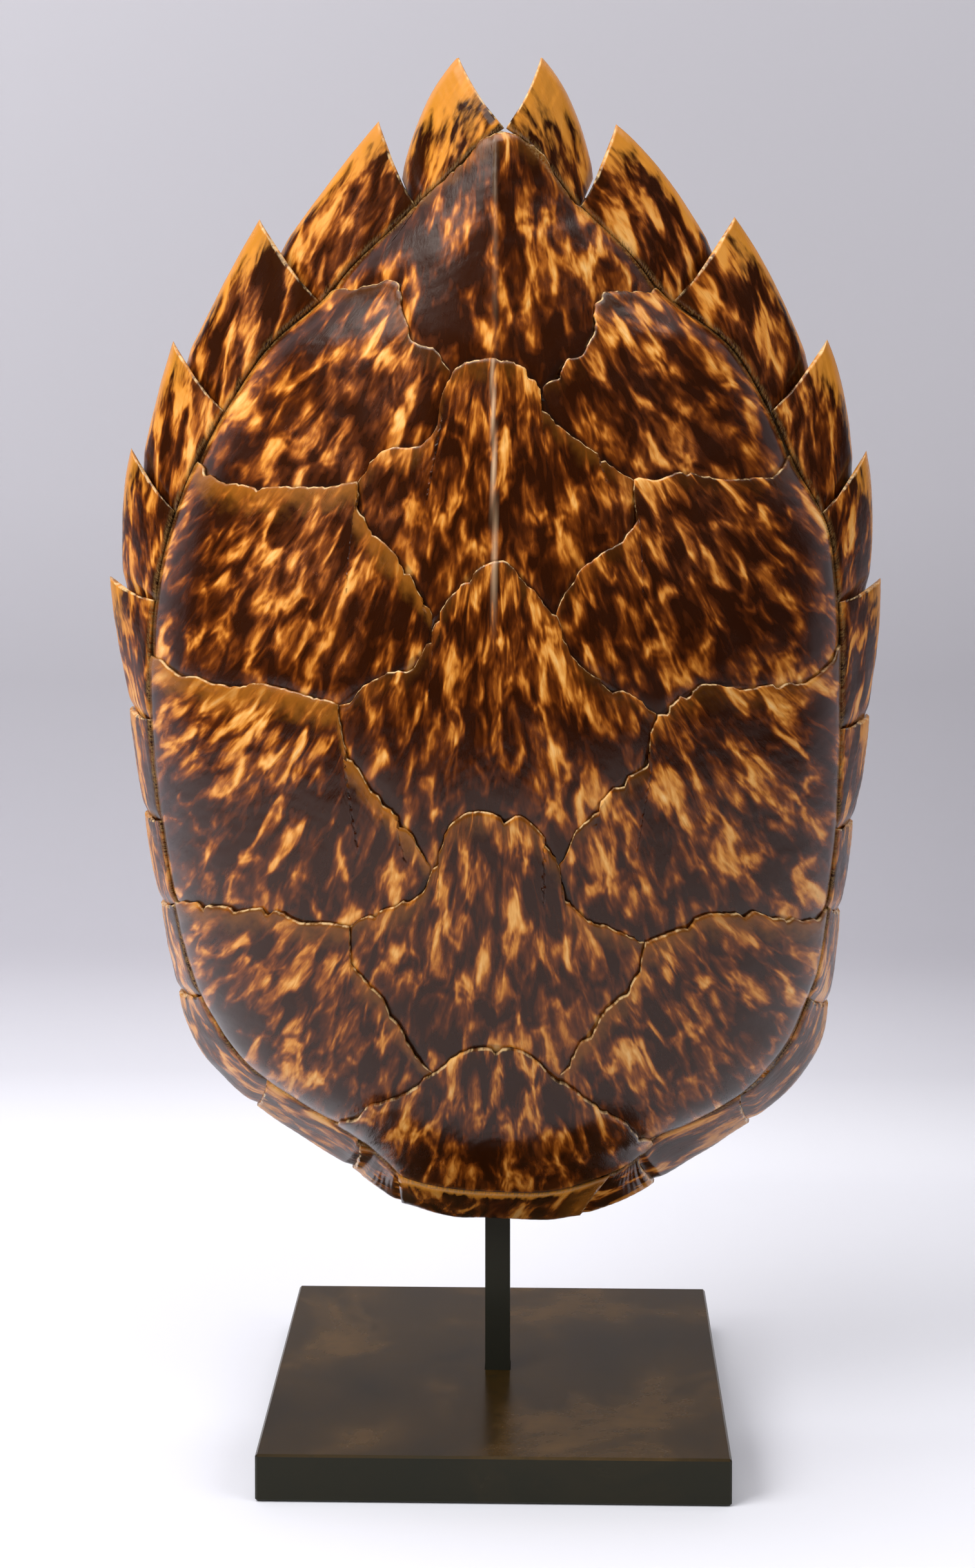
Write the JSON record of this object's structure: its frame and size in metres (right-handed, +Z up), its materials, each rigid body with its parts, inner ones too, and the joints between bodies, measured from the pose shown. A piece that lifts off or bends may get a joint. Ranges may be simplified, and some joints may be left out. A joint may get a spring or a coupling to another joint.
{
  "type": "sea turtle shell on stand",
  "caption": "Upper shell of a hawksbill sea turtle with overlapping horn scutes on a hollow bony carapace, held tail up on a square metal stand.",
  "frame": {"origin": "centre of the underside of the square base, on the surface that the stand rests on", "axes": "+Z up, along the length of the shell from its neck end to its tail end; the domed outside of the shell faces -Y; +X is to the right seen from the front"},
  "size_m": [0.4405, 0.2839, 0.7779],
  "materials": {
    "horn_dome": "glossy polished horn, dark brown with amber flames",
    "horn_margin": "glossy horn, dark brown with honey-coloured edges",
    "bone": "dry matt bone",
    "bronze": "dark brown patina, semi-gloss",
    "screw_brass": "aged brass"
  },
  "bodies": {
    "root": {"arm_lower": "bronze", "arm_upper": "bronze", "carapace_bone": "bone", "costal_scute_left_1": "horn_dome", "costal_scute_left_2": "horn_dome", "costal_scute_left_3": "horn_dome", "costal_scute_left_4": "horn_dome", "costal_scute_right_1": "horn_dome", "costal_scute_right_2": "horn_dome", "costal_scute_right_3": "horn_dome", "costal_scute_right_4": "horn_dome", "marginal_scute_left_1": "horn_margin", "marginal_scute_left_10": "horn_margin", "marginal_scute_left_11": "horn_margin", "marginal_scute_left_2": "horn_margin", "marginal_scute_left_3": "horn_margin", "marginal_scute_left_4": "horn_margin", "marginal_scute_left_5": "horn_margin", "marginal_scute_left_6": "horn_margin", "marginal_scute_left_7": "horn_margin", "marginal_scute_left_8": "horn_margin", "marginal_scute_left_9": "horn_margin", "marginal_scute_right_1": "horn_margin", "marginal_scute_right_10": "horn_margin", "marginal_scute_right_11": "horn_margin", "marginal_scute_right_2": "horn_margin", "marginal_scute_right_3": "horn_margin", "marginal_scute_right_4": "horn_margin", "marginal_scute_right_5": "horn_margin", "marginal_scute_right_6": "horn_margin", "marginal_scute_right_7": "horn_margin", "marginal_scute_right_8": "horn_margin", "marginal_scute_right_9": "horn_margin", "nuchal_scute": "horn_margin", "screw_lower_bottom": "screw_brass", "screw_lower_top": "screw_brass", "screw_upper_bottom": "screw_brass", "screw_upper_top": "screw_brass", "stand_base": "bronze", "stand_post": "bronze", "supracaudal_scute_left": "horn_margin", "supracaudal_scute_right": "horn_margin", "vertebral_scute_1": "horn_dome", "vertebral_scute_2": "horn_dome", "vertebral_scute_3": "horn_dome", "vertebral_scute_4": "horn_dome", "vertebral_scute_5": "horn_dome"}
  },
  "joints": []
}
